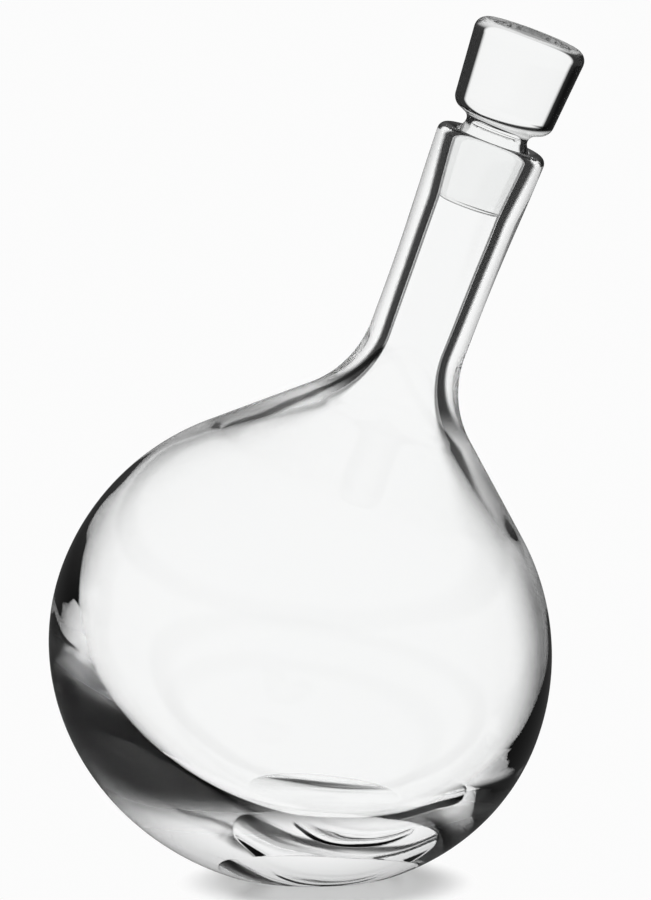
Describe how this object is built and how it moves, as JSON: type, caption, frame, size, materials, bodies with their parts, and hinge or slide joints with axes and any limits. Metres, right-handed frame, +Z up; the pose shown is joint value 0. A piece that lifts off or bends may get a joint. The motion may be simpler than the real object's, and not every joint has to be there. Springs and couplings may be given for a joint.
{
  "type": "whiskey decanter",
  "caption": "Leaning round-bellied clear glass decanter on a thick base ground flat at an angle, with a slim flared neck and a solid tapered glass stopper that lifts out.",
  "frame": {"origin": "middle of the flat ground on the underside, in the plane of the table", "axes": "+Z up, +X the way the neck leans; the XZ plane holds the leaning axis and halves the object"},
  "size_m": [0.149, 0.1416, 0.24],
  "materials": {
    "vessel_glass": "clear colourless blown glass, fire-polished, with a polished ground flat underneath",
    "stopper_glass": "clear colourless solid glass, polished, flat top"
  },
  "bodies": {
    "vessel": {"decanter_belly": "vessel_glass", "decanter_neck": "vessel_glass"},
    "stopper": {"stopper": "stopper_glass"}
  },
  "joints": [
    {"name": "stopper_lift", "type": "slide", "parent": "vessel", "child": "stopper", "axis": [0.3486, 0, 0.9373], "range_m": [0, 0.03]}
  ]
}
